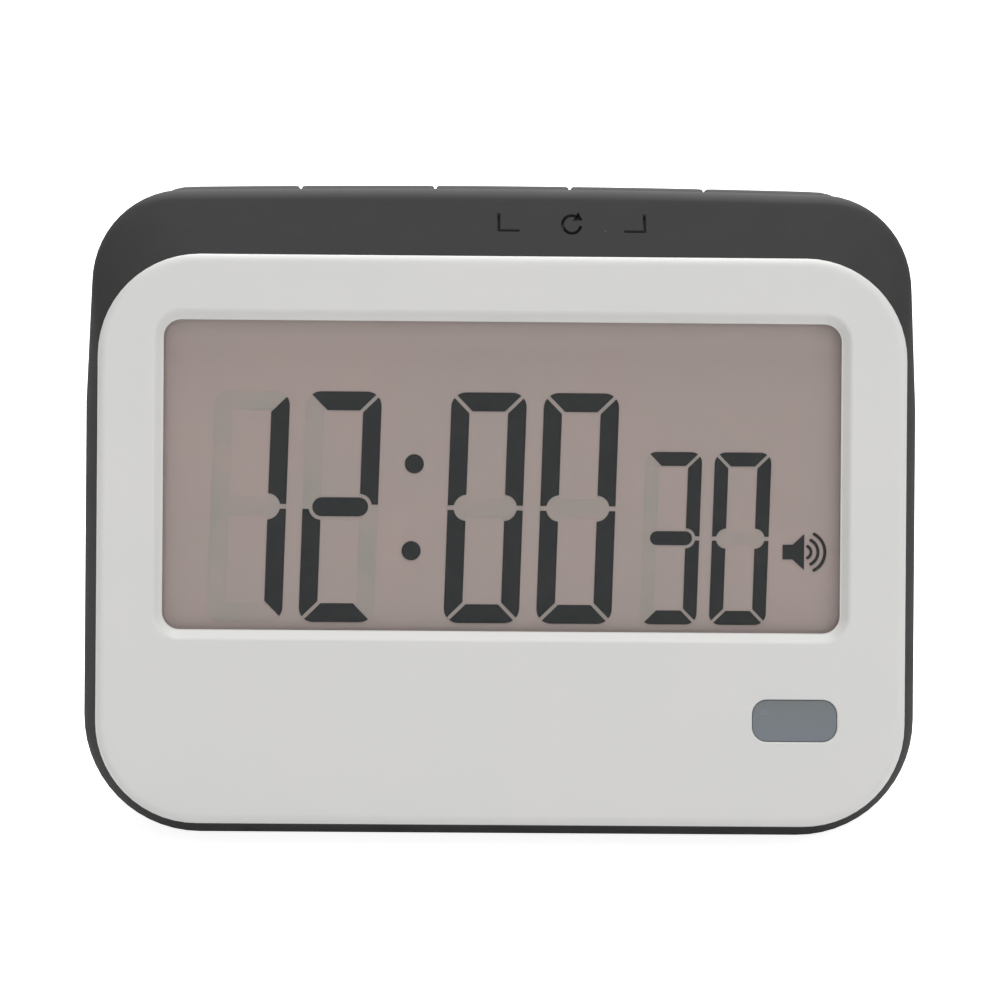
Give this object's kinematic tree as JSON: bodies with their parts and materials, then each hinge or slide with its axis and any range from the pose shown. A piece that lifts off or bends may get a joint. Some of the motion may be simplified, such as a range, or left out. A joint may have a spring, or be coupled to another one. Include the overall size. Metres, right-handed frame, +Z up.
{
  "type": "digital timer",
  "caption": "Free-standing digital timer: wedge-shaped dark housing, white bezel with a wide LCD window, alarm light, row of press keys on top, battery door behind.",
  "frame": {"origin": "middle of the footprint, on the table under the base pad", "axes": "+Z up, front and display towards -Y, +X to the viewer's right"},
  "size_m": [0.1148, 0.045, 0.0879],
  "materials": {
    "bezel_white": "satin white moulded plastic",
    "shell_dark": "dark grey soft-touch plastic",
    "pad_rubber": "non-slip rubber sheet",
    "key_soft": "dark grey soft rubber",
    "clear_cover": "clear acrylic",
    "lcd_film": "grey-taupe polariser film",
    "lcd_glass": "display glass",
    "lens_smoke": "smoked translucent lens",
    "led_clear": "clear epoxy",
    "black_plastic": "black moulded plastic",
    "grey_rubber": "conductive elastomer",
    "board_green": "solder mask on fibreglass",
    "epoxy_black": "glob-top epoxy",
    "steel": "nickel-plated steel",
    "copper": "enamelled copper winding",
    "brass": "rolled brass",
    "ceramic": "silvered ceramic",
    "cell_sleeve": "plain printed sleeve, no label",
    "ribbon_film": "flat cable",
    "wire_red": "red insulation",
    "wire_black": "black insulation"
  },
  "bodies": {
    "case": {"front_bezel": "bezel_white", "rear_shell": "shell_dark", "base_pad": "pad_rubber", "display_window": "clear_cover", "lcd_polariser": "lcd_film", "lcd_front_glass": "lcd_glass", "lcd_rear_glass": "lcd_glass", "lcd_reflector": "lcd_film", "lcd_frame": "black_plastic", "zebra_strip_top": "grey_rubber", "zebra_strip_bottom": "grey_rubber", "main_board": "board_green", "key_board": "board_green", "chip_blob": "epoxy_black", "crystal": "steel", "capacitor": "black_plastic", "buzzer_coil": "copper", "alarm_led": "led_clear", "alarm_lens": "lens_smoke", "battery_cell_upper": "cell_sleeve", "battery_cell_lower": "cell_sleeve", "contact_bridge": "steel", "contact_negative": "steel", "contact_positive": "steel", "buzzer_disc": "brass", "buzzer_element": "ceramic", "key_ribbon": "ribbon_film", "battery_lead_red": "wire_red", "buzzer_lead_red": "wire_red", "battery_lead_black": "wire_black", "buzzer_lead_black": "wire_black", "board_screw_1": "steel", "board_screw_2": "steel", "board_screw_3": "steel", "board_screw_4": "steel", "case_screw_1": "steel", "key_board_screw_1": "steel", "case_screw_2": "steel", "key_board_screw_2": "steel", "switch_body_mode": "black_plastic", "switch_body_hour": "black_plastic", "switch_body_minute": "black_plastic", "switch_body_second": "black_plastic", "switch_body_start": "black_plastic"},
    "key_mode": {"key_mode": "key_soft", "switch_plunger_mode": "black_plastic"},
    "key_hour": {"key_hour": "key_soft", "switch_plunger_hour": "black_plastic"},
    "key_minute": {"key_minute": "key_soft", "switch_plunger_minute": "black_plastic"},
    "key_second": {"key_second": "key_soft", "switch_plunger_second": "black_plastic"},
    "key_start": {"key_start": "key_soft", "switch_plunger_start": "black_plastic"},
    "battery_door": {"battery_door": "shell_dark"}
  },
  "joints": [
    {"name": "mode_press", "type": "slide", "parent": "case", "child": "key_mode", "axis": [0, -0.1736, -0.9848], "range_m": [0, 0.0005], "stiffness_N_per_m": 2000},
    {"name": "hour_press", "type": "slide", "parent": "case", "child": "key_hour", "axis": [0, -0.1736, -0.9848], "range_m": [0, 0.0005], "stiffness_N_per_m": 2000},
    {"name": "minute_press", "type": "slide", "parent": "case", "child": "key_minute", "axis": [0, -0.1736, -0.9848], "range_m": [0, 0.0005], "stiffness_N_per_m": 2000},
    {"name": "second_press", "type": "slide", "parent": "case", "child": "key_second", "axis": [0, -0.1736, -0.9848], "range_m": [0, 0.0005], "stiffness_N_per_m": 2000},
    {"name": "start_press", "type": "slide", "parent": "case", "child": "key_start", "axis": [0, -0.1736, -0.9848], "range_m": [0, 0.0005], "stiffness_N_per_m": 2000},
    {"name": "battery_door_swing", "type": "hinge", "parent": "case", "child": "battery_door", "pos_m": [0, 0.02255, 0.0096], "axis": [-1, 0, 0], "range_deg": [0, 80]}
  ]
}
